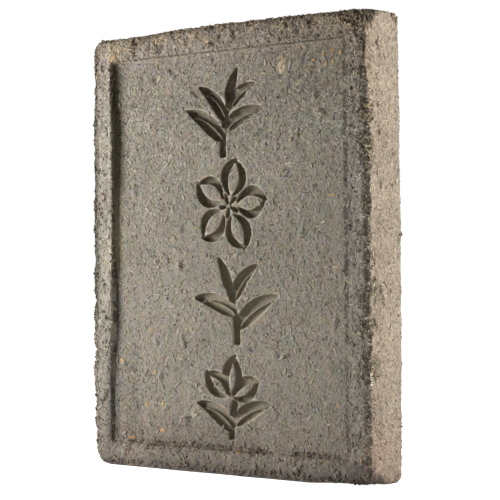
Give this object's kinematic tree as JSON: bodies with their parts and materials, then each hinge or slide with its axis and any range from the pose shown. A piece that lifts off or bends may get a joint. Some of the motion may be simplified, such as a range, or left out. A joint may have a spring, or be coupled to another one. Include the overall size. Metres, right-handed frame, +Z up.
{
  "type": "pu erh tea brick",
  "caption": "Upright slab of pressed dark tea leaf with a raised rim, a sunken panel and engraved sprig and blossom ornaments down its middle; edges crumbly.",
  "frame": {"origin": "middle of the flat base that the brick stands on, on the surface it stands on", "axes": "+Z up along the brick's long side, -Y out of the pressed face with the ornaments, +X to the right of that face"},
  "size_m": [0.193, 0.0284, 0.2402],
  "materials": {
    "pressed_leaf": "dry, matt, rough pressed leaf in warm grey-brown with pale, tan and dark flecks"
  },
  "bodies": {
    "root": {"brick": "pressed_leaf"}
  },
  "joints": []
}
